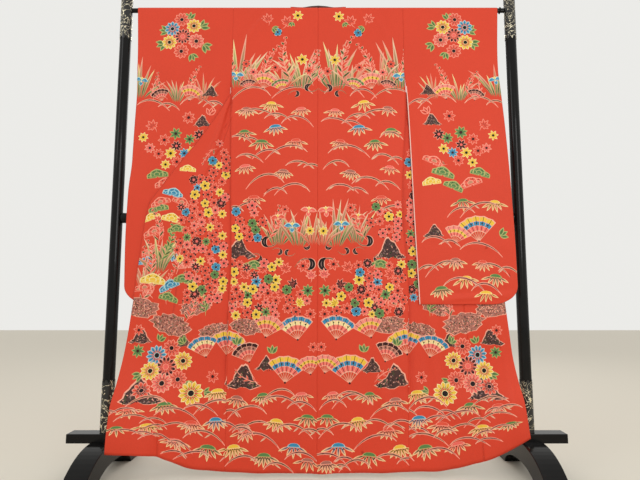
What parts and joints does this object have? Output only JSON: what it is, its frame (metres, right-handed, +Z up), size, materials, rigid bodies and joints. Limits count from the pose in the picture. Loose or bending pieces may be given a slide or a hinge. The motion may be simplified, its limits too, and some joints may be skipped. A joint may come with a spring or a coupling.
{
  "type": "furisode kimono on a display stand",
  "caption": "Long-sleeved silk kimono hung back outwards from the rod of a black lacquered stand with arched feet, fronts swung out at both sides.",
  "frame": {"origin": "on the floor, under the middle of the stand", "axes": "+Z up; the garment's back faces -Y; +X to the right as its back is seen"},
  "size_m": [1.648, 0.41, 1.7203],
  "materials": {
    "silk": "soft printed silk with a faint crepe grain",
    "lacquer": "black gloss lacquer",
    "gilt": "black ground with gilt scrolls"
  },
  "bodies": {
    "root": {"back_left": "silk", "back_right": "silk", "front_left": "silk", "front_right": "silk", "okumi_left": "silk", "okumi_right": "silk", "sleeve_left": "silk", "sleeve_right": "silk", "collar": "silk", "top_rod": "lacquer", "rod_ring": "lacquer", "mid_rail": "lacquer", "beam": "lacquer", "post_left": "lacquer", "post_right": "lacquer", "foot_left": "lacquer", "foot_right": "lacquer", "cap_left": "gilt", "cap_right": "gilt", "lower_fitting_left": "gilt", "lower_fitting_right": "gilt", "upper_fitting_left": "gilt", "upper_fitting_right": "gilt"}
  },
  "joints": []
}
